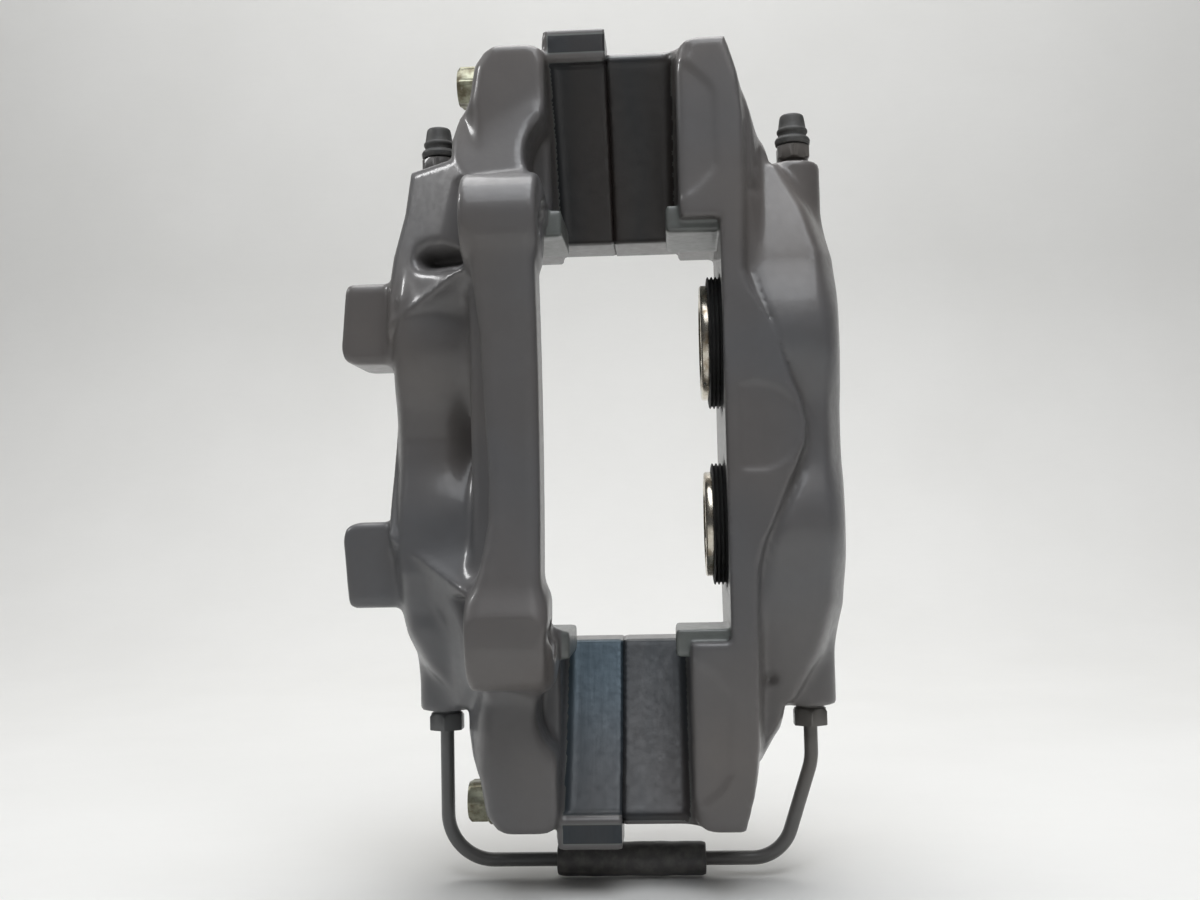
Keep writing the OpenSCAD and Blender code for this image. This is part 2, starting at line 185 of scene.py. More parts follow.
def carve(a, b, k):
    """Field a with b cut out of it, the edge eased by about k."""
    return smooth_max(a, -b, k)


def rise(t, low, high):
    """Soft step from 0 at low to 1 at high."""
    s = np.clip((t - low) / (high - low), 0, 1)
    return s * s * (3 - 2 * s)


def slab(t, low, high):
    """Distance to the span low..high along one coordinate."""
    return np.abs(t - (low + high) / 2) - (high - low) / 2


def rounded_pair(a, b, r):
    """Intersection of two fields with a true round edge of radius r."""
    outer = np.sqrt(np.maximum(a + r, 0) ** 2 + np.maximum(b + r, 0) ** 2)
    return outer + np.minimum(np.maximum(a + r, b + r), 0) - r


def block(x, y, z, low, high, r):
    """Box from corner to corner with edges of radius r."""
    a = slab(x, low[0], high[0])
    b = slab(y, low[1], high[1])
    c = slab(z, low[2], high[2])
    outer = np.sqrt(np.maximum(a + r, 0) ** 2 + np.maximum(b + r, 0) ** 2 + np.maximum(c + r, 0) ** 2)
    return outer + np.minimum(np.maximum(np.maximum(a + r, b + r), c + r), 0) - r


def disc(p, q, cp, cq, r):
    """Distance to a circle in the p, q plane."""
    return np.sqrt((p - cp) ** 2 + (q - cq) ** 2) - r


def outline(p, q, points):
    """Signed distance to a closed outline in the p, q plane, negative inside."""
    best = None
    sign = None
    for i in range(len(points)):
        a = np.array(points[i], float)
        b = np.array(points[i - 1], float)
        e = b - a
        wp, wq = p - a[0], q - a[1]
        t = np.clip((wp * e[0] + wq * e[1]) / (e @ e), 0, 1)
        d = (wp - t * e[0]) ** 2 + (wq - t * e[1]) ** 2
        best = d if best is None else np.minimum(best, d)
        above = q >= a[1]
        below = q < b[1]
        left = e[0] * wq > e[1] * wp
        flip = (above & below & left) | (~above & ~below & ~left)
        sign = flip if sign is None else sign ^ flip
    return np.where(sign, -1.0, 1.0) * np.sqrt(best)


def behind(front, y):
    """Field of everything behind the front surface, which is a depth for each x and z."""
    slope_x, slope_z = np.gradient(front[:, 0, :], CELL)
    return (front - y) / np.sqrt(1 + slope_x**2 + slope_z**2)[:, None, :]


def surface_net(field, low, cell):
    """Points and quads of the surface where the field is zero."""
    inside = field < 0
    total = np.zeros(np.array(field.shape) - 1, np.int8)
    nx, ny, nz = total.shape
    for i in (0, 1):
        for j in (0, 1):
            for k in (0, 1):
                total += inside[i : i + nx, j : j + ny, k : k + nz]
    cells = np.argwhere((total > 0) & (total < 8))
    index = np.full(total.shape, -1, np.int32)
    index[tuple(cells.T)] = np.arange(len(cells))
    place = np.zeros((len(cells), 3))
    hits = np.zeros(len(cells))
    unit = np.eye(3, dtype=int)
    for axis in range(3):
        others = [unit[a] for a in range(3) if a != axis]
        for i in (0, 1):
            for j in (0, 1):
                offset = others[0] * i + others[1] * j
                d0 = field[tuple((cells + offset).T)].astype(float)
                d1 = field[tuple((cells + offset + unit[axis]).T)].astype(float)
                cross = (d0 < 0) != (d1 < 0)
                t = d0[cross] / (d0[cross] - d1[cross])
                place[cross] += offset + t[:, None] * unit[axis]
                hits += cross
    points = np.array(low) + cell * (cells + place / hits[:, None])
    quads = []
    for axis in range(3):
        e1, e2 = unit[(axis + 1) % 3], unit[(axis + 2) % 3]
        start = [slice(0, n) for n in field.shape]
        end = list(start)
        start[axis] = slice(0, field.shape[axis] - 1)
        end[axis] = slice(1, field.shape[axis])
        a, b = inside[tuple(start)], inside[tuple(end)]
        for rising in (True, False):
            edges = np.argwhere(a & ~b if rising else ~a & b)
            ring = [edges, edges - e1, edges - e1 - e2, edges - e2]
            corners = np.stack([index[tuple(r.T)] for r in ring], 1)
            quads.append(corners if rising else corners[:, ::-1])
    return points, np.concatenate(quads)


# ---------------------------------------------------------------- castings

# grid of the distance fields, and how far it reaches past the casting
CELL = 1.12
GRID_MARGIN = 2.5

# upper half of each outline seen from the hub, from the channel to the outer face: u, z
OUTLINE_OUT = [
    (38.7, END_Z), (42.5, 122), (48, 110.5), (53, 102), (54, 93), (70, 92), (72, 77), (75.5, 60),
    (FACE_OUT_U, 44),
]
OUTLINE_IN = [
    (43, END_Z), (46.5, 126.5), (48.5, 114), (52, 108), (54, 100), (54, 93), (70, 92), (72, 77), (76.3, 62),
    (FACE_IN_U, 50),
]
# where the front of each half turns back to its side
CREASE_OUT = [(37, 140), (43.7, 118), (49, 105), (54.7, 96), (64.1, 75.5), (68.6, 58.4), (69.2, 40)]
CREASE_IN = [(40, 140), (46, 118), (50, 104), (55, 95), (66, 77), (70.5, 66), (72.5, 56), (73, 40)]
# outer edge of the flat strip of the outboard half, with the tongue at mid height
STRIP_EDGE = [
    (39.4, 134), (42, 120), (43.5, 104), (43.3, 80), (42.6, 52), (45, 44), (49.6, 33.5), (54.7, 20.5),
    (59.4, 9.5), (61.2, 1), (60.6, -5.5), (57.6, -13.5), (51.5, -26), (46.5, -37), (44.6, -46), (44, -57),
    (43.4, -80), (43, -104), (41, -120), (38.6, -134),
]
# inboard edge of the beam between the ears: height, x
BEAM_EDGE = [(-54, 1.8), (-43, 4.9), (-30, 7.4), (-16, 7.7), (0, 6.9), (33, 5.4), (52, 3.3)]
# end panels of the inboard half
PANEL = [(10, 140), (38, 140), (40.5, 130), (44.5, 124), (46.5, 112), (45.8, 98), (44, 84), (10, 84)]
# u of the line that closes the creases and the strip, past the middle of the disc
INNER_U = -10
# how steeply the front turns back outside the crease, and how softly it starts to
SIDE_SLOPE = 2.7
SIDE_EASE = 2.5
# y of each fin's crest at its start and its end
FIN_Y = (-1.0, 15.5)


def mirrored(points):
    """Upper half of an outline with its mirror image after it."""
    return list(points) + [(u, -z) for u, z in reversed(points)]


def closed(points, inner_u):
    """Whole outline from its upper half, closed along a line of constant u."""
    top = points[0][1]
    return [(inner_u, top)] + mirrored(points) + [(inner_u, -top)]


def above_zero(t, ease):
    """The part of a value above 0, with a soft start."""
    return smooth_max(t, 0 * t, ease)


def patch_mask(u, z):
    """1 inside the D-shaped patch of the tongue, 0 outside."""
    centre_u, patch_r, straight_u = 45.5, 14.5, 40.2
    return rise(-np.maximum(disc(u, z, centre_u, 0.0, patch_r), straight_u - u), -0.4, 0.5)


def outboard_front(u, z):
    """Front surface of the outboard half, as y."""
    hump_y, bulge, end_slope, face_slope = 17.5, 4.5, 0.42, 0.05
    groove_y = 17.0
    patch_depth, arc_depth, pit_depth, pit_r = 0.8, 0.6, 2.0, 2.1
    top_z, bottom_z = STRIP_EDGE[0][1], STRIP_EDGE[-1][1]
    strip = outline(u, z, [(INNER_U, top_z)] + STRIP_EDGE + [(INNER_U, bottom_z)])
    side = outline(u, z, closed(CREASE_OUT, INNER_U))
    # the cylinders bulge forward beyond the strip
    bulges = np.exp(-(((z - BORE_Z) / 19) ** 2)) + np.exp(-(((z + BORE_Z) / 18) ** 2))
    hump = hump_y - bulge * bulges + end_slope * above_zero(np.abs(z) - 62, 14.0)
    hump = hump + SIDE_SLOPE * above_zero(side, SIDE_EASE)
    hump = hump + face_slope * np.maximum(u - 56, 0) * rise(-side, 0, 4)
    # a groove follows the strip's edge, wider above and below the tongue
    groove = groove_y + SIDE_SLOPE * np.maximum(side + 1.5, 0)
    width = 1.6 + 4.2 * rise(z, 25, 62) + 2.4 * rise(-z, 0, 12) * rise(z, -75, -45)
    beyond = groove + (hump - groove) * rise(strip, 0.4 * width, width + 2.4)
    front = FRONT_Y + (beyond - FRONT_Y) * rise(strip, -0.5, 2.1)
    front = front + patch_depth * patch_mask(u, z)
    # shallow arcs beside the window's corners, and two small pits
    for s in (1, -1):
        arc = np.maximum(u - 34.8, disc(u, s * z, 12.5, 99.5, 25.5))
        front = front + arc_depth * rise(-np.maximum(arc, 70.5 - s * z), -0.2, 0.5)
    for pit_u, pit_z in ((47.2, 80.9), (48.6, -84.0)):
        front = front + pit_depth * np.exp(-(((u - pit_u) ** 2 + (z - pit_z) ** 2) / pit_r**2))
    return front


def ridge_front(u, z, start, end):
    """Fin as a front surface: a crest between two points, gentle above it and steep below."""
    slope_above, slope_below = 0.5, -1.0
    crest_lift, crest_half = 0.5, 2.0
    along = np.array(end, float) - start
    length = np.hypot(*along)
    along = along / length
    across = np.array([-along[1], along[0]])
    s = ((u - start[0]) * along[0] + (z - start[1]) * along[1]) / length
    t = (u - start[0]) * across[0] + (z - start[1]) * across[1]
    crest = FIN_Y[0] + (FIN_Y[1] - FIN_Y[0]) * np.clip(s, -0.4, 1.15)
    flanks = np.where(t > 0, slope_above, slope_below) * t
    return crest + flanks - crest_lift * np.exp(-((t / crest_half) ** 2))


def inboard_front(u, z):
    """Front surface of the inboard half behind the beam, as y."""
    valley_y, ridge_slope, shoulder, channel_drop, end_slope = 20.5, 0.15, 2.0, 6.0, 0.55
    pocket_depth, pocket_half = 13.0, 3.2
    panel_slope = 2.3
    height = np.abs(z)
    side = outline(u, z, closed(CREASE_IN, INNER_U))
    valley = valley_y - ridge_slope * above_zero(np.abs(z + 1.5), 1.5) * rise(-height, -60, -44)
    valley = valley - shoulder * rise(height, 48, 60) + channel_drop * (1 - rise(u, 47, 60))
    valley = valley + end_slope * above_zero(height - 67, 3.0)
    valley = valley + SIDE_SLOPE * above_zero(side, SIDE_EASE)
    upper = ridge_front(u, z, (45.3, 54.7), (72.5, 39.5))
    lower = ridge_front(u, z, (46.4, -53.9), (70.0, -38.5))
    front = smooth_min(valley, smooth_min(upper, lower, 3.0), 1.8)
    # deep pocket over the upper fin
    pocket_z = 58.8 + 0.09 * (u - 56)
    pocket = np.exp(-(((z - pocket_z) / pocket_half) ** 2)) * rise(u, 40, 46) * rise(-u, -69, -60)
    front = front + pocket_depth * pocket
    for s in (1, -1):
        panel = FRONT_Y + panel_slope * above_zero(outline(u, s * z, PANEL), 3.0)
        front = smooth_min(front, panel, 3.0)
    return front


def casting_core(u, y, z, side_outline, face_u, front):
    """What both halves share: outline, front, housings, port bosses and the wheel's clearance."""
    closing_u, housing_end, web_y, boss_foot_z = -20, 3.5, 66, 40
    cone_u, cone_slope, cone_length = 45, 0.667, 1.2
    flat = outline(u, z, closed(side_outline, closing_u))
    core = rounded_pair(flat, behind(front, y), 2.6)
    radius = np.sqrt((y - HUB_Y) ** 2 + z**2)
    for z0, r in ((BORE_Z, UPPER_R), (-BORE_Z, LOWER_R)):
        round_wall = disc(y, z, BORE_Y, z0, r + HOUSING_WALL)
        barrel = rounded_pair(round_wall, slab(u, 30, face_u - housing_end), 12.0)
        core = smooth_min(core, barrel, 6.0)
    for s in (1, -1):
        web = np.maximum(slab(u, PORT_U - BOSS_R, PORT_U + BOSS_R), slab(y, PORT_Y, web_y))
        column = np.minimum(disc(u, y, PORT_U, PORT_Y, BOSS_R), web)
        boss = rounded_pair(column, slab(s * z, boss_foot_z, PORT_Z), 1.2)
        core = smooth_min(core, boss, 2.5)
    cone = (radius - OUTER_R + (u - cone_u) * cone_slope) / cone_length
    core = smooth_max(core, np.maximum(radius - OUTER_R, cone), 5.0)
    return core, radius


def cut_spaces(core, u, z, radius, edge, end_z):
    """Disc channel, whose edges are rounder at its two ends, window and pad recess."""
    past_split, end_edge = -60, 5.5
    channel = rounded_pair(radius - FLOOR_R, slab(u, -CHANNEL, CHANNEL), 4.6)
    core = carve(core, channel, edge + end_edge * rise(np.abs(z), end_z - 12, end_z - 2))
    window = np.maximum(slab(u, past_split, CHANNEL), slab(z, -WINDOW_Z, WINDOW_Z))
    recess = rounded_pair(slab(u, past_split, PAD_U), slab(z, -RECESS_Z, RECESS_Z), 1.6)
    return carve(core, np.minimum(window, recess), 1.3)


def add_abutments(core, u, y, z):
    """Blocks that the pads' ends rest on, at both ends of the window."""
    low = (ABUTMENT_U, ABUTMENT_Y[0], ABUTMENT_Z)
    high = (PAD_U + 1, ABUTMENT_Y[1], RECESS_Z + ABUTMENT_ROOT)
    for s in (1, -1):
        core = np.minimum(core, block(u, y, s * z, low, high, 0.8))
    return core


def cut_bores(core, u, y, z):
    """Bores with boot seat and seal groove, the ports with their seats, and the bolt holes."""
    mouth_u, past_split, above_port = 20, -10, 20
    for z0, r in ((BORE_Z, UPPER_R), (-BORE_Z, LOWER_R)):
        wall = disc(y, z, BORE_Y, z0, r)
        bore = np.maximum(wall - RUNNING_GAP, slab(u, mouth_u, BORE_FLOOR_U))
        seat = np.maximum(wall - BOOT_SEAT_DEPTH, slab(u, mouth_u, BOOT_SEAT_END_U))
        groove = np.maximum(wall - GROOVE_DEPTH, slab(u, *GROOVE_U))
        core = np.maximum(core, -np.minimum(np.minimum(bore, seat), groove))
    height = np.abs(z)
    axis = disc(u, y, PORT_U, PORT_Y, 0)
    port = np.maximum(axis - PORT_HOLE_R, PORT_Z - PORT_HOLE_L - height)
    spot = np.maximum(axis - SPOT_R, slab(height, PORT_Z, PORT_Z + above_port))
    core = np.maximum(core, -np.minimum(np.minimum(port, axis - DRILLING_R), spot))
    for bolt_y, bolt_z in BOLTS:
        round_hole = disc(y, height, bolt_y, bolt_z, BOLT_HOLE_R)
        core = np.maximum(core, -np.maximum(round_hole, slab(u, past_split, BOLT_END_U)))
    return core


def outboard_field(x, y, z):
    """Outboard half."""
    u = x - DISC_X
    core, radius = casting_core(u, y, z, OUTLINE_OUT, FACE_OUT_U, outboard_front(u, z))
    core = cut_spaces(core, u, z, radius, 3.2, END_Z)
    core = cut_bores(add_abutments(core, u, y, z), u, y, z)
    return np.maximum(core, -SPLIT_U - u)


def lug(u, y, height, near, far):
    """Cast lug between two heights, with a large corner towards the middle of the caliper."""
    root_u, low_y, high_y = 56, 25, 55
    reach, slant = 0.7, 0.08
    end_u = LUG_U + reach - slant * (height - near)
    body = block(u, y, height, (root_u, low_y, near), (end_u, high_y, far), 3.2)
    corner = rounded_pair(u - end_u, near - height, 8.5)
    return smooth_max(body, corner, 3.0)


def cut_wall_hollows(core, x, y, z):
    """Oval hollows beside the ears, where the channel wall steps back."""
    hollow_x, hollow_z, half_x, half_z, back_y = 30.0, 92.0, 10.5, 14.0, 32
    for s in (1, -1):
        reach = np.sqrt(((x - hollow_x) / half_x) ** 2 + ((s * z - hollow_z) / half_z) ** 2)
        hollow = (reach - 1) * half_x
        core = carve(core, np.maximum(hollow, slab(y, -10, back_y)), 3.0)
    return core


def add_lips(core, u, z, radius, end_z):
    """Lips at the ends of the bridge, from the split face to the channel's wall."""
    inset, start_z, past_split = 6, 116, -20
    for s in (1, -1):
        ring = slab(radius, FLOOR_R - inset, OUTER_R - inset)
        lip = rounded_pair(ring, slab(s * z, start_z, end_z), 3.0)
        core = np.minimum(core, rounded_pair(lip, slab(u, past_split, CHANNEL + 1.5), 2.0))
    return core


def add_ledges(core, u, y, z):
    """Ledges on the lips, across the ends of the channel's floor."""
    low_y, high_y, start_z, past_split = 15.5, 36, 126, -20
    for s in (1, -1):
        ledge = rounded_pair(slab(y, low_y, high_y), slab(s * z, start_z, LIP_Z), 1.5)
        core = np.minimum(core, rounded_pair(ledge, slab(u, past_split, CHANNEL + 0.6), 1.5))
    return core


def add_beam(core, x, y, z):
    """Bowed beam between the ears, and the web that joins it to the half."""
    bow_depth, bow_half = 6.0, 56.0
    low_y, high_y, high_x, end_z = -13.5, 7, 24.0, EAR_Z - 4
    web = block(x, y, z, (0.5, 3, -EAR_Z), (11, 24, EAR_Z), 4.0)
    core = smooth_min(core, web, 5.0)
    edge_z, edge_x = np.array(BEAM_EDGE).T
    low_x = np.interp(z, edge_z, edge_x)
    bow = bow_depth * (1 - (z / bow_half) ** 2)
    beam = block(x, y - bow, z, (low_x, low_y, -end_z), (high_x, high_y, end_z), 3.6)
    return smooth_min(core, beam, 4.0)


def add_ears(core, x, y, z):
    """Mounting ears on their feet, with their holes and the room for the bracket."""
    foot_low = (0.6, 0, EAR_Z - 12)
    foot_high = (EAR_L - 1.5, 22, EAR_Z + EAR_R)
    bracket_y, bracket_z = 9, (53.5, 84)
    for s, blend in ((1, 3.0), (-1, 7.0)):
        ear = rounded_pair(disc(y, z, 0, s * EAR_Z, EAR_R), slab(x, 0, EAR_L), 2.2)
        foot = block(x, y, s * z, foot_low, foot_high, 2.6)
        core = smooth_min(core, smooth_min(ear, foot, 2.0), blend)
        hole = np.maximum(disc(y, z, 0, s * EAR_Z, EAR_HOLE_R), slab(x, -5, EAR_L + 5))
        core = np.maximum(core, -hole)
    bracket = np.maximum(np.maximum(x, y - bracket_y), slab(np.abs(z), *bracket_z))
    return carve(core, bracket, 1.0)


def cut_head_seats(core, u, y, z):
    """Bolt holes right through the inboard half, with the seats of their heads."""
    for bolt_y, bolt_z in BOLTS:
        axis = disc(y, np.abs(z), bolt_y, bolt_z, 0)
        hole = np.maximum(axis - BOLT_HOLE_R, slab(u, 0, 60))
        seat = np.maximum(axis - HEAD_CLEAR_R, slab(u, BOLT_SEAT_U, LUG_U))
        core = np.maximum(core, -np.minimum(hole, seat))
    return core


def cut_inlet(core, u, y, z):
    """Hose inlet and the drilling behind it."""
    axis = disc(y, z, PORT_Y, 0, 0)
    inlet = np.maximum(axis - INLET_R, slab(u, INLET_U, LUG_U))
    drilling = np.maximum(axis - DRILLING_R, slab(u, PORT_U, INLET_U + 2))
    return np.maximum(core, -np.minimum(inlet, drilling))


def inboard_field(x, y, z):
    """Inboard half, with the ears and lugs."""
    u = DISC_X - x
    lip_end_z = LIP_Z - 1.6
    core, radius = casting_core(u, y, z, OUTLINE_IN, FACE_IN_U, inboard_front(u, z))
    for height, heights in ((z, UPPER_LUG), (-z, LOWER_LUG)):
        core = smooth_min(core, lug(u, y, height, *heights), 3.0)
    core = cut_wall_hollows(core, x, y, z)
    core = add_lips(core, u, z, radius, lip_end_z)
    core = cut_spaces(core, u, z, radius, 2.6, lip_end_z)
    core = add_ledges(core, u, y, z)
    core = add_abutments(core, u, y, z)
    core = add_beam(core, x, y, z)
    core = add_ears(core, x, y, z)
    core = cut_bores(core, u, y, z)
    core = cut_head_seats(core, u, y, z)
    core = cut_inlet(core, u, y, z)
    return np.maximum(core, SPLIT_U + SEAM - u)


def add_mesh(name, points_mm, faces):
    """Smooth mesh object from points in millimetres."""
    mesh = bpy.data.meshes.new(name)
    mesh.from_pydata((np.asarray(points_mm) * MM).tolist(), [], [list(map(int, f)) for f in faces])
    mesh.validate()
    mesh.update()
    mesh.polygons.foreach_set("use_smooth", [True] * len(mesh.polygons))
    obj = bpy.data.objects.new(name, mesh)
    bpy.context.scene.collection.objects.link(obj)
    return obj


def stand_for(obj, node, body, material):
    """Let a piece stand for a CAD node, on the node's body, with the slot's material."""
    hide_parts(node)
    if body:
        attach(obj, body)
    obj.data.materials.append(material)


def edge_attribute(mesh):
    """Store how convex the surface is at each point: above 0 on edges, below 0 in hollows."""
    count = len(mesh.vertices)
    place = np.empty(count * 3)
    mesh.vertices.foreach_get("co", place)
    place = place.reshape(-1, 3)
    normal = np.empty(count * 3)
    mesh.vertices.foreach_get("normal", normal)
    normal = normal.reshape(-1, 3)
    ends = np.empty(len(mesh.edges) * 2, int)
    mesh.edges.foreach_get("vertices", ends)
    a, b = ends.reshape(-1, 2).T
    a, b = np.concatenate([a, b]), np.concatenate([b, a])
    hits = np.bincount(a, minlength=count)

    def around(values):
        """Mean of a value over the points joined to each point."""
        return np.bincount(a, values[b], count) / np.maximum(hits, 1)

    mean = np.stack([around(place[:, i]) for i in range(3)], 1)
    convex = np.einsum("ij,ij->i", place - mean, normal)
    for _ in range(3):
        convex = 0.5 * convex + 0.5 * around(convex)
    attribute = mesh.attributes.new("edge", "FLOAT", "POINT")
    attribute.data.foreach_set("value", convex / (CELL * MM))


def machined_attribute(mesh):
    """Mark the pad seats with 0.5, and the channel floor with 0.75 to 1 for how much painted light it gets:
    0.75 for painted shade, 1 for a painted lit blue sheen.
    """
    place = np.empty(len(mesh.vertices) * 3)
    mesh.vertices.foreach_get("co", place)
    x, y, z = place.reshape(-1, 3).T / MM
    u = np.abs(x - DISC_X)
    radius = np.hypot(y - HUB_Y, z)
    height = np.abs(z)
    floor = (np.abs(radius - FLOOR_R) < 2.5) & (u < CHANNEL - 1.0) & (height > WINDOW_Z - 1)
    # the floor gets a painted lit blue sheen below the window, less so on the outboard half and towards the
    # end, and painted shade above the window
    outboard_floor_light = 0.3
    floor_light = np.where(x > SPLIT_X, outboard_floor_light, 1.0)
    floor_light = floor_light * rise(-z, 60, 70) * (0.25 + 0.75 * rise(z, -125, -76))
    seat = (u > ABUTMENT_U - 0.5) & (u < PAD_U + 1) & (height > ABUTMENT_Z - 0.6)
    seat &= (height < RECESS_Z + ABUTMENT_ROOT + 0.5)
    seat &= (y > ABUTMENT_Y[0] - 0.6) & (y < ABUTMENT_Y[1] + 1)
    value = np.where(floor, 0.75 + 0.25 * floor_light, np.where(seat, 0.5, 0.0))
    attribute = mesh.attributes.new("machined", "FLOAT", "POINT")
    attribute.data.foreach_set("value", value)


def casting(name, node, field, low, high, split_x, material):
    """One half of the caliper, kept within its CAD box and flat on the split face."""
    snap = 0.8 * CELL
    start = low - GRID_MARGIN
    end = high + GRID_MARGIN + CELL
    axes = [np.arange(a, b, CELL, dtype=np.float32) for a, b in zip(start, end)]
    x, y, z = axes[0][:, None, None], axes[1][None, :, None], axes[2][None, None, :]
    values = np.broadcast_to(field(x, y, z), (x.size, y.size, z.size))
    points, quads = surface_net(values, start, CELL)
    at_split = np.abs(points[:, 0] - split_x) < snap
    points[at_split, 0] = split_x
    obj = add_mesh(name, np.clip(points, low, high), quads)
    stand_for(obj, node, "caliper", material)
    edge_attribute(obj.data)
    machined_attribute(obj.data)


# ---------------------------------------------------------------- lathed and swept pieces

TURN_STEPS = 96
SHARP = math.radians(38)


def turned(profile, centre, direction):
    """Points and faces of a closed profile lathed about a line through centre.

    A profile point is (distance along the direction, radius) or (distance, radius,
    flats): with flats it is trimmed to a hexagon of that width, which also gives a
    hexagon its chamfered corners.
    """
    direction = Vector(direction)
    side = Vector((0, 1, 0))
    other = direction.cross(side)
    points = []
    for along, radius, *flats in profile:
        for i in range(TURN_STEPS):
            angle = 2 * math.pi * i / TURN_STEPS
            r = radius
            if flats:
                to_flat = (angle + math.pi / 6) % (math.pi / 3) - math.pi / 6
                r = min(radius, flats[0] / 2 / math.cos(to_flat))
            outward = other * math.cos(angle) + side * math.sin(angle)
            points.append(Vector(centre) + direction * along + outward * r)
    faces = []
    for j, point in enumerate(profile):
        n = (j + 1) % len(profile)
        if point[1] == 0 and profile[n][1] == 0:
            continue
        for i in range(TURN_STEPS):
            k = (i + 1) % TURN_STEPS
            faces.append((j * TURN_STEPS + i, j * TURN_STEPS + k, n * TURN_STEPS + k, n * TURN_STEPS + i))
    return points, faces


def piece(name, parts, node, body, material):
    """One welded object from several lots of points and faces, standing for a CAD node."""
    points, faces = [], []
    for part_points, part_faces in parts:
        start = len(points)
        points += part_points
        faces += [tuple(start + i for i in face) for face in part_faces]
    obj = add_mesh(name, points, faces)
    work = bmesh.new()
    work.from_mesh(obj.data)
    bmesh.ops.remove_doubles(work, verts=work.verts, dist=1e-6)
    bmesh.ops.recalc_face_normals(work, faces=work.faces)
    for edge in work.edges:
        edge.smooth = len(edge.link_faces) != 2 or edge.calc_face_angle(0) < SHARP
    work.to_mesh(obj.data)
    work.free()
    stand_for(obj, node, body, material)
    return obj


def add_piston(side, level, material):
    """Turned cup piston, open towards the pad, with the groove that the boot's lip sits in."""
    node = f"piston_{side}_{level}"
    low, high = box_mm(node)
    s = 1 if side == "out" else -1
    tip = low[0] if s > 0 else high[0]
    r = radius_mm(node)
    length = high[0] - low[0]
    profile = [
        # tip and boot groove, outside and rear end, hollow
        (0, r - 0.7), (0.2, r - 0.3), (0.6, r), (2.2, r), (2.2, r - 1.3), (4.6, r - 1.3), (4.6, r),
        (length - 0.8, r), (length, r - 0.8), (length, 0),
        (18, 0), (18, r - 5.5), (17.5, r - 4.4), (16.5, r - 4),
        (2.2, r - 4), (1.6, r - 3.6), (0.5, r - 3.6), (0, r - 3.1),
    ]
    centre = (tip, BORE_Y, BORE_Z if level == "upper" else -BORE_Z)
    piece(f"{node}_turned", [turned(profile, centre, (s, 0, 0))], node, node, material)


def add_boot(side, level, material):
    """Rubber boot: bead in the bore's mouth, folds, and a lip in the piston's groove."""
    node = f"boot_{side}_{level}"
    piston = f"piston_{side}_{level}"
    low, high = box_mm(node)
    s = 1 if side == "out" else -1
    front, back = (low[0], high[0]) if s > 0 else (high[0], low[0])
    r = radius_mm(piston)
    length = abs(back - front)
    bead_l, fold_l, steps_per_fold, fold_depth = 2.6, 1.6, 6, 0.5
    bead = length - bead_l
    folds = max(1, round(bead / fold_l))
    steps = folds * steps_per_fold
    outer = []
    for i in range(steps + 1):
        t = i / steps
        wave = fold_depth * math.cos(2 * math.pi * folds * t)
        outer.append((0.5 + (bead - 0.6) * t, r + 2.55 + wave))
    profile = (
        [(0, r - 0.6), (0, r + 1.6), (0.15, r + 2.4)] + outer
        + [(bead, r + 3.9), (bead + 0.2, r + 4.15), (length - 0.2, r + 4.15), (length, r + 3.9)]
        + [(length, r + 2.1), (bead, r + 1.6), (1.2, r + 1.5), (1.0, r + 0.5), (1.0, r - 0.7)]
        + [(0.8, r - 0.9), (0.2, r - 0.9)]
    )
    centre = (front, BORE_Y, BORE_Z if level == "upper" else -BORE_Z)
    obj = piece(f"{node}_folded", [turned(profile, centre, (s, 0, 0))], node, None, material)
    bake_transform(obj)


def add_bleed_screw(side, material):
    """Bleed screw: cone, thread, hexagon and nipple, drilled up its axis."""
    x = PORT_X_IN if side == "in" else PORT_X_OUT
    turns, pitch, thread_start, root_r, crest_r = 10, 1.25, -15.5, 4.55, 5.0
    thread = []
    for i in range(turns):
        start = thread_start + pitch * i
        thread += [(start, root_r), (start + 0.5, crest_r), (start + 0.75, crest_r), (start + 1.2, root_r)]
    hexagon = [(2.0, 5.3, PORT_HEX), (2.5, 6.35, PORT_HEX), (6.3, 6.35, PORT_HEX), (7, 5.3, PORT_HEX)]
    profile = (
        [(-SCREW_L, 0), (-SCREW_L, 1.9), (-16, 4.0)] + thread
        + [(-2.4, 3.8), (1.7, 3.8)] + hexagon
        + [(7.05, 3.4), (7.4, 2.9), (7.9, 2.7), (10.9, 2.7), (11.3, 3.25), (12.5, 3.3), (14.3, 2.5)]
        + [(14.5, 2.3), (14.5, 1.1), (14.2, 1.0), (-13, 1.0), (-13, 0)]
    )
    node = f"bleed_screw_{side}"
    parts = [turned(profile, (x, PORT_Y, PORT_Z), (0, 0, 1))]
    piece(f"{node}_turned", parts, node, node, material)


def add_bleed_cap(side, material):
    """Rubber dust cap: flared skirt, bead and tapered crown, hollow over the nipple."""
    node = f"bleed_cap_{side}"
    x, y = centre_mm(node)[:2]
    z = box_mm(node)[0][2]
    profile = [
        # skirt, bead, crown, inside
        (0.15, 3.7), (0, 3.9), (0, 5.75), (0.2, 6.0), (1.5, 6.2), (1.8, 6.15), (2.5, 5.75), (2.9, 5.2),
        (3.1, 4.95), (3.9, 4.9), (4.1, 5.0), (4.4, 5.3), (4.7, 5.4), (5.2, 5.4), (5.5, 5.25), (5.8, 5.0),
        (6.1, 4.85), (8.2, 4.55), (9.8, 4.3), (10.4, 4.1), (10.75, 3.75), (10.9, 3.2), (10.9, 1.2),
        (10.7, 0.6), (10.65, 0), (8.2, 0), (8.2, 2.6), (7.4, 3.6), (6.6, 3.7),
    ]
    piece(f"{node}_moulded", [turned(profile, (x, y, z), (0, 0, 1))], node, node, material)


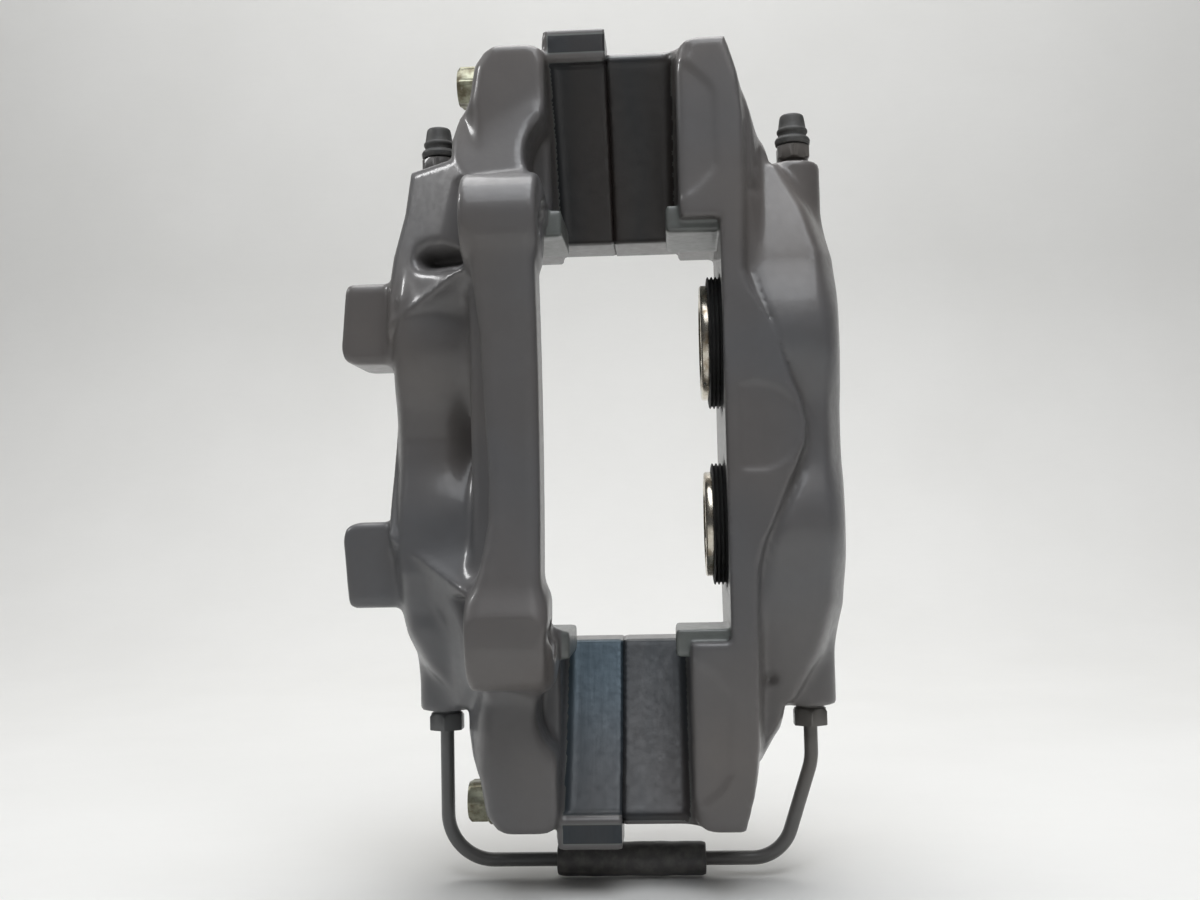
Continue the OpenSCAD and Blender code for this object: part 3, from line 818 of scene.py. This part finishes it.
def add_bridge_bolts(material):
    """Flanged hexagon bolts, heads in the inboard half."""
    low, high = box_mm("bridge_bolts")
    seat_x = low[0] + HEAD_H
    shank = high[0] - seat_x
    profile = [
        # shank, flange, hexagon, dished top
        (-shank, 0), (-shank, 3.3), (-shank + 0.8, BOLT_R), (0, BOLT_R),
        (0, 7.7), (0.25, 8.0), (0.7, 8.0), (1.1, 7.7), (1.5, 7.2),
        (1.6, 7.5, BOLT_HEX), (7.0, 7.5, BOLT_HEX), (HEAD_H, 6.3, BOLT_HEX),
        (HEAD_H, 5.2), (7.6, 4.6), (7.6, 0),
    ]
    parts = []
    for y, z in BOLTS:
        for s in (1, -1):
            parts.append(turned(profile, (seat_x, y, s * z), (-1, 0, 0)))
    piece("bridge_bolts_turned", parts, "bridge_bolts", "caliper", material)


def add_flare_nuts(material):
    """Union nuts of the crossover pipe."""
    profile = [
        # screwed end, hexagon, hole for the pipe
        (-11.9, 2.45), (-11.9, 4.6), (-11.4, 5.0), (0.4, 5.0), (0.5, 4.7), (1.0, 4.8),
        (1.3, 5.4, PORT_HEX), (2.3, 6.35, PORT_HEX), (6.7, 6.35, PORT_HEX), (7.0, 6.1, PORT_HEX),
        (7.0, 3.2), (6.5, 2.45),
    ]
    parts = []
    for x in (PORT_X_IN, PORT_X_OUT):
        parts.append(turned(profile, (x, PORT_Y, -PORT_Z), (0, 0, -1)))
    piece("flare_nuts_turned", parts, "flare_nuts", "caliper", material)


def add_sleeve(material):
    """Rubber sleeve shrunk over the pipe, slightly uneven along its length."""
    low, high = box_mm("pipe_sleeve")
    length = high[0] - low[0]
    r = (high[2] - low[2]) / 2
    steps = 40
    outer = []
    for i in range(steps + 1):
        t = i / steps
        dip = 0.10 + 0.06 * math.sin(17 * t) + 0.05 * math.sin(41 * t + 1)
        end = 0.5 * math.exp(-30 * min(t, 1 - t)) ** 2
        outer.append((0.25 + (length - 0.5) * t, r - dip - end))
    hole_r, end_r = 2.5, r - 1.1
    profile = [(0, hole_r), (0, end_r)] + outer + [(length, end_r), (length, hole_r)]
    parts = [turned(profile, (low[0], PORT_Y, PIPE_Z), (1, 0, 0))]
    piece("pipe_sleeve_shrunk", parts, "pipe_sleeve", "caliper", material)


def rounded_path(corners, bends, step):
    """Points along a path in x and z whose corners are arcs of the given radii."""
    path = []
    for i, corner in enumerate(corners):
        corner = np.array(corner, float)
        if bends[i] == 0:
            path.append(corner)
            continue
        way_in = corner - corners[i - 1]
        way_in /= np.hypot(*way_in)
        way_out = np.array(corners[i + 1], float) - corner
        way_out /= np.hypot(*way_out)
        turn = math.acos(way_in @ way_out)
        back = bends[i] * math.tan(turn / 2)
        inward = (way_out - way_in) / np.hypot(*(way_out - way_in))
        centre = corner + inward * bends[i] / math.cos(turn / 2)
        from_centre = corner - way_in * back - centre
        steps = max(2, math.ceil(bends[i] * turn / step))
        sign = 1 if way_in[0] * way_out[1] - way_in[1] * way_out[0] > 0 else -1
        for j in range(steps + 1):
            a = sign * turn * j / steps
            c, s = math.cos(a), math.sin(a)
            turned_x = c * from_centre[0] - s * from_centre[1]
            turned_z = s * from_centre[0] + c * from_centre[1]
            path.append(centre + np.array([turned_x, turned_z]))
    return path


def add_pipe(material):
    """Crossover pipe with a flare at each end, swept along its bent path."""
    top_z = box_mm("crossover_pipe")[1][2]
    end_z = top_z - 0.1
    # level along the bottom, then slanting up to the outboard port
    slant_x, slant_z = 100, -113
    corners = [
        (PORT_X_IN, end_z), (PORT_X_IN, PIPE_Z), (slant_x, PIPE_Z),
        (PORT_X_OUT, slant_z), (PORT_X_OUT, end_z),
    ]
    bends, step, sides = (0, 16, 14, 20, 0), 1.0, 32
    path = rounded_path(corners, bends, step)
    points, faces = [], []
    for i, place in enumerate(path):
        ahead = path[min(i + 1, len(path) - 1)] - path[max(i - 1, 0)]
        ahead = ahead / np.hypot(*ahead)
        across = (-ahead[1], ahead[0])
        for j in range(sides):
            a = 2 * math.pi * j / sides
            out = PIPE_R * math.cos(a)
            x, z = place[0] + across[0] * out, place[1] + across[1] * out
            points.append(Vector((x, PORT_Y + PIPE_R * math.sin(a), z)))
    for i in range(len(path) - 1):
        for j in range(sides):
            k = (j + 1) % sides
            faces.append((i * sides + j, i * sides + k, (i + 1) * sides + k, (i + 1) * sides + j))
    faces.append(tuple(range(sides)))
    faces.append(tuple(range((len(path) - 1) * sides, len(path) * sides)))
    flare_profile = [(0, 2.3), (0, 3.6), (0.3, 3.65), (2.0, 2.4), (2.0, 2.3)]
    flares = []
    for x in (PORT_X_IN, PORT_X_OUT):
        flares.append(turned(flare_profile, (x, PORT_Y, top_z - 0.02), (0, 0, -1)))
    piece("crossover_pipe_bent", [(points, faces)] + flares, "crossover_pipe", "caliper", material)


# ---------------------------------------------------------------- materials


class Graph:
    """Builds one material's nodes."""

    def __init__(self, name):
        self.material = bpy.data.materials.new(f"{name}_look")
        self.material["slot"] = name
        self.material.use_nodes = True
        self.tree = self.material.node_tree
        self.shader = self.tree.nodes["Principled BSDF"]
        self.coords = self.tree.nodes.new("ShaderNodeTexCoord").outputs["Object"]

    def node(self, kind, inputs, **settings):
        node = self.tree.nodes.new(kind)
        for key, value in settings.items():
            setattr(node, key, value)
        for key, value in inputs.items():
            self.put(node.inputs[key], value)
        return node

    def put(self, socket, value):
        if isinstance(value, bpy.types.NodeSocket):
            self.tree.links.new(value, socket)
        elif isinstance(value, tuple) and socket.type == "RGBA":
            socket.default_value = (*value, 1)
        else:
            socket.default_value = value

    def set(self, name, value):
        self.put(self.shader.inputs[name], value)

    def noise(self, per_mm, detail=3.0, stretch=(1, 1, 1), rough=0.55):
        """Noise with about this many blobs per millimetre, stretched along each axis."""
        scale = tuple(per_mm / MM * s for s in stretch)
        mapped = self.node("ShaderNodeMapping", {"Vector": self.coords, "Scale": scale}).outputs[0]
        inputs = {"Vector": mapped, "Scale": 1.0, "Detail": detail, "Roughness": rough}
        return self.node("ShaderNodeTexNoise", inputs).outputs[0]

    def span(self, value, low, high, to_low=0.0, to_high=1.0):
        inputs = {"Value": value, "From Min": low, "From Max": high, "To Min": to_low, "To Max": to_high}
        return self.node("ShaderNodeMapRange", inputs).outputs[0]

    def math(self, operation, a, b):
        return self.node("ShaderNodeMath", {0: a, 1: b}, operation=operation).outputs[0]

    def mix(self, factor, a, b):
        node = self.node("ShaderNodeMix", {"Factor": factor}, data_type="RGBA")
        # the colour sockets have to be taken by number, as they share their names with others
        self.put(node.inputs[6], a)
        self.put(node.inputs[7], b)
        return node.outputs[2]

    def attribute(self, name):
        return self.node("ShaderNodeAttribute", {}, attribute_name=name).outputs["Fac"]

    def bump(self, height, distance_mm, strength=1.0, under=None):
        inputs = {"Height": height, "Distance": distance_mm * MM, "Strength": strength}
        if under is not None:
            inputs["Normal"] = under
        return self.node("ShaderNodeBump", inputs).outputs[0]


def tinted(colour, factor, warm=0.0):
    """Colour made lighter or darker, and warmer or cooler."""
    return (colour[0] * factor * (1 + warm), colour[1] * factor, colour[2] * factor * (1 - warm))


SLOT_COLOURS = {m["slot"]: tuple(m["base_color"]) for m in frame["record"]["materials"]}
# clear gloss over the paint
COAT = 0.4
PAINT_SPECULAR = 0.55
RUBBER_SPECULAR = 0.4


def paint(name, chips=True):
    """Satin grey paint over metal: orange peel, warm and cool drift, painted shade in hollows, wear on
    edges, painted shade and a painted lit sheen on the channel floor.
    """
    g = Graph(name)
    colour = SLOT_COLOURS[name]
    drift = g.span(g.noise(0.012, 2.0), 0.35, 0.65)
    cloud = g.span(g.noise(0.07, 4.0), 0.3, 0.7)
    base = g.mix(drift, tinted(colour, 1.0, 0.06), tinted(colour, 0.95, -0.06))
    base = g.mix(g.math("MULTIPLY", cloud, 0.35), base, tinted(colour, 0.72, 0.03))
    rough = g.span(g.noise(0.35, 5.0), 0.25, 0.75, 0.4, 0.56)
    peel = g.noise(0.55, 2.0)
    grit = g.noise(2.4, 3.0)
    normal = g.bump(peel, 0.09, 0.35)
    normal = g.bump(grit, 0.03, 0.3, normal)
    metal = 0.0
    coat = COAT
    if chips:
        edge = g.attribute("edge")
        # painted shade: the paint is made darker and warmer in the hollows
        hollow = g.span(edge, -0.03, -0.22)
        base = g.mix(g.math("MULTIPLY", hollow, 0.45), base, tinted(colour, 0.45, 0.12))
        ridge = g.span(edge, 0.06, 0.22)
        scuff = g.span(g.noise(0.5, 6.0, rough=0.7), 0.5, 0.62)
        base = g.mix(g.math("MULTIPLY", g.math("MULTIPLY", ridge, scuff), 0.5), base, tinted(colour, 1.7))
        chip = g.span(g.noise(0.62, 7.0, rough=0.8), 0.655, 0.675)
        chip = g.math("MULTIPLY", chip, g.span(edge, 0.03, 0.09))
        chip = g.math("MULTIPLY", chip, g.span(g.noise(0.03, 1.0), 0.5, 0.56))
        base = g.mix(chip, base, (0.55, 0.55, 0.53))
        machined = g.attribute("machined")
        floor = g.span(machined, 0.55, 0.72)
        seat = g.math("SUBTRACT", g.span(machined, 0.2, 0.45), floor)
        # painted light on the channel floor: near black painted shade above the window, a painted lit blue
        # sheen over the streaks below it
        floor_light = g.span(machined, 0.75, 1.0)
        streak = g.span(g.noise(0.9, 4.0, (1, 0.06, 0.06)), 0.3, 0.7)
        band = g.span(g.noise(0.05, 2.0, (1, 0.2, 0.2)), 0.35, 0.65)
        # the floor's painted shade colours, then its painted lit sheen colours
        floor_shade = g.mix(band, (0.016, 0.018, 0.021), (0.028, 0.022, 0.02))
        lit_floor_sheen = g.mix(streak, (0.045, 0.07, 0.09), (0.065, 0.095, 0.118))
        base = g.mix(floor, base, g.mix(floor_light, floor_shade, lit_floor_sheen))
        bare = g.mix(cloud, (0.15, 0.165, 0.155), (0.1, 0.105, 0.1))
        base = g.mix(g.math("MAXIMUM", seat, 0.0), base, bare)
        metal = g.math("MULTIPLY", floor_light, 0.5)
        coat = g.math("MULTIPLY", g.math("SUBTRACT", 1.0, floor), COAT)
        rough = g.math("SUBTRACT", rough, g.math("MULTIPLY", floor, 0.06))
        normal = g.bump(g.math("MULTIPLY", streak, floor_light), 0.02, 0.4, normal)
    g.set("Base Color", base)
    g.set("Roughness", rough)
    g.set("Metallic", metal)
    g.set("Normal", normal)
    g.set("Specular IOR Level", PAINT_SPECULAR)
    g.set("Coat Weight", coat)
    g.set("Coat Roughness", 0.14)
    return g.material


def nickel(name):
    """Turned nickel plate, with fine rings and brownish stains."""
    g = Graph(name)
    colour = SLOT_COLOURS[name]
    rings = g.noise(6.0, 3.0, (1, 0.02, 0.02))
    stain = g.span(g.noise(0.22, 5.0), 0.48, 0.7)
    base = g.mix(stain, g.mix(rings, tinted(colour, 1.1), tinted(colour, 0.85)), tinted(colour, 0.42, 0.18))
    g.set("Base Color", base)
    g.set("Metallic", 1.0)
    g.set("Roughness", g.span(g.math("ADD", stain, g.math("MULTIPLY", rings, 0.3)), 0.0, 1.2, 0.16, 0.42))
    g.set("Normal", g.bump(rings, 0.02, 0.5))
    return g.material


def rubber(name, low=0.55, high=0.8, dust=0.35):
    """Moulded rubber: matte, finely grained, with a little grey dust."""
    g = Graph(name)
    colour = SLOT_COLOURS[name]
    dusty = g.span(g.noise(0.3, 5.0), 0.42, 0.72)
    grain = g.noise(3.0, 3.0)
    base = g.mix(g.math("MULTIPLY", dusty, dust), colour, tinted(colour, 2.2, 0.04))
    g.set("Base Color", g.mix(g.math("MULTIPLY", grain, 0.25), base, tinted(colour, 0.6)))
    g.set("Roughness", g.span(dusty, 0.0, 1.0, low, high))
    g.set("Normal", g.bump(g.noise(0.8, 2.0), 0.06, 0.3, g.bump(grain, 0.03, 0.4)))
    g.set("Specular IOR Level", RUBBER_SPECULAR)
    return g.material


def zinc(name):
    """Dulled yellow zinc plate with darker blotches and a white bloom."""
    g = Graph(name)
    colour = SLOT_COLOURS[name]
    blotch = g.span(g.noise(0.3, 5.0), 0.4, 0.65)
    bloom = g.span(g.noise(1.1, 4.0), 0.6, 0.72)
    base = g.mix(blotch, tinted(colour, 0.8, -0.1), tinted(colour, 0.35, 0.02))
    g.set("Base Color", g.mix(g.math("MULTIPLY", bloom, 0.3), base, (0.4, 0.4, 0.36)))
    g.set("Metallic", g.span(bloom, 0.0, 1.0, 0.9, 0.4))
    g.set("Roughness", g.span(blotch, 0.0, 1.0, 0.3, 0.5))
    g.set("Normal", g.bump(g.noise(1.8, 3.0), 0.03, 0.4))
    return g.material


def stage_material():
    """Pale sheet: faint weave and smudges."""
    g = Graph("pale_sheet")
    smudge = g.span(g.noise(0.006, 5.0), 0.35, 0.7)
    weave = g.noise(0.35, 2.0, (0.15, 1, 1))
    base = g.mix(g.math("MULTIPLY", smudge, 0.3), (0.8, 0.795, 0.775), (0.7, 0.695, 0.67))
    g.set("Base Color", g.mix(g.math("MULTIPLY", weave, 0.08), base, (0.62, 0.62, 0.62)))
    g.set("Roughness", 0.85)
    g.set("Normal", g.bump(weave, 0.2, 0.2))
    return g.material


# ---------------------------------------------------------------- the pieces

caliper_paint = paint("caliper_paint")
casting("inboard_casting", "inboard_half", inboard_field, IN_LOW, IN_HIGH, SPLIT_X - SEAM, caliper_paint)
casting("outboard_casting", "outboard_half", outboard_field, OUT_LOW, OUT_HIGH, SPLIT_X, caliper_paint)

piston_nickel = nickel("piston_nickel")
boot_rubber = rubber("boot_rubber")
seal_rubber = rubber("seal_rubber", 0.4, 0.6, 0.1)
for side in ("out", "in"):
    for level in ("upper", "lower"):
        add_piston(side, level, piston_nickel)
        add_boot(side, level, boot_rubber)
        seal = frame["nodes"][f"seal_{side}_{level}"]
        seal.data.materials.clear()
        seal.data.materials.append(seal_rubber)

fitting_steel = paint("fitting_steel", chips=False)
cap_rubber = rubber("cap_rubber", 0.5, 0.75, 0.5)
for side in ("in", "out"):
    add_bleed_screw(side, fitting_steel)
    add_bleed_cap(side, cap_rubber)

add_bridge_bolts(zinc("zinc_steel"))
pipe_paint = paint("pipe_paint", chips=False)
add_pipe(pipe_paint)
add_flare_nuts(pipe_paint)
add_sleeve(rubber("sleeve_rubber", 0.4, 0.62, 0.6))

# ---------------------------------------------------------------- stage, light, camera


def add_floor():
    """Pale sheet under the caliper that curves up well behind it."""
    floor_z = cad_bounds[0].z - 0.5 * MM
    half_width, front_y, back_height = 2.6, -2.0, 2.5
    bend_y, bend_r, bend_steps = 0.55, 0.4, 12
    depth = [(front_y, 0.0), (bend_y, 0.0)]
    for i in range(1, bend_steps + 1):
        a = math.radians(90 * i / bend_steps)
        depth.append((bend_y + bend_r * math.sin(a), bend_r - bend_r * math.cos(a)))
    depth.append((bend_y + bend_r, back_height))
    points, faces = [], []
    for y, z in depth:
        points += [(-half_width, y, z + floor_z), (half_width, y, z + floor_z)]
    for i in range(len(depth) - 1):
        faces.append((2 * i, 2 * i + 1, 2 * i + 3, 2 * i + 2))
    obj = add_mesh("floor", np.array(points) / MM, faces)
    obj.data.materials.append(stage_material())


def area_light(name, place, target, size, power, colour=(1, 1, 1), glossy_only=False):
    """Square lamp turned to a target, which can be left to reflections only."""
    data = bpy.data.lights.new(name, "AREA")
    data.shape = "SQUARE"
    data.size = size
    data.energy = power
    data.color = colour
    obj = bpy.data.objects.new(name, data)
    obj.location = place
    obj.rotation_mode = "QUATERNION"
    obj.rotation_quaternion = (Vector(target) - Vector(place)).to_track_quat("-Z", "Y")
    obj.visible_diffuse = not glossy_only
    bpy.context.scene.collection.objects.link(obj)


add_floor()
MIDDLE = (0.04, 0.03, 0.0)
area_light("ceiling", (0.1, -0.3, 0.66), MIDDLE, 0.6, 3.7, (0.93, 0.96, 1.0))
area_light("window", (-0.88, -0.02, 0.68), (-0.016, 0.018, 0.05), 0.2, 3.3, glossy_only=True)
area_light("front_fill", (0.3, -0.55, 0.62), MIDDLE, 0.5, 0.52, (1.0, 0.96, 0.92))
area_light("backdrop_light", (0.0, 0.45, 1.5), (0.0, 0.95, 0.1), 1.2, 21)

world = bpy.data.worlds.new("studio")
world.use_nodes = True
world.node_tree.nodes["Background"].inputs["Color"].default_value = (0.95, 0.97, 1.0, 1)
world.node_tree.nodes["Background"].inputs["Strength"].default_value = 0.1
bpy.context.scene.world = world

# a phone's camera, held level with the caliper on the hub's side
CAMERA_AT = (65.8, -412.7, -32.8)
PITCH, YAW, ROLL = math.radians(-3.53), math.radians(-3.18), math.radians(-1.24)
SENSOR_MM, LENS_MM = 36.0, 38.91
camera_data = bpy.data.cameras.new("camera")
camera_data.sensor_width = SENSOR_MM
camera_data.lens = LENS_MM
camera = bpy.data.objects.new("camera", camera_data)
turn = (
    Matrix.Rotation(ROLL, 3, "Y") @ Matrix.Rotation(PITCH, 3, "X") @ Matrix.Rotation(YAW, 3, "Z")
).transposed()
right, ahead, up = turn.col[0], turn.col[1], turn.col[2]
axes = Matrix((right, up, -ahead)).transposed().to_4x4()
camera.matrix_world = Matrix.Translation(Vector(CAMERA_AT) * MM) @ axes
bpy.context.scene.collection.objects.link(camera)
bpy.context.scene.camera = camera
bpy.context.scene.view_settings.view_transform = "Standard"
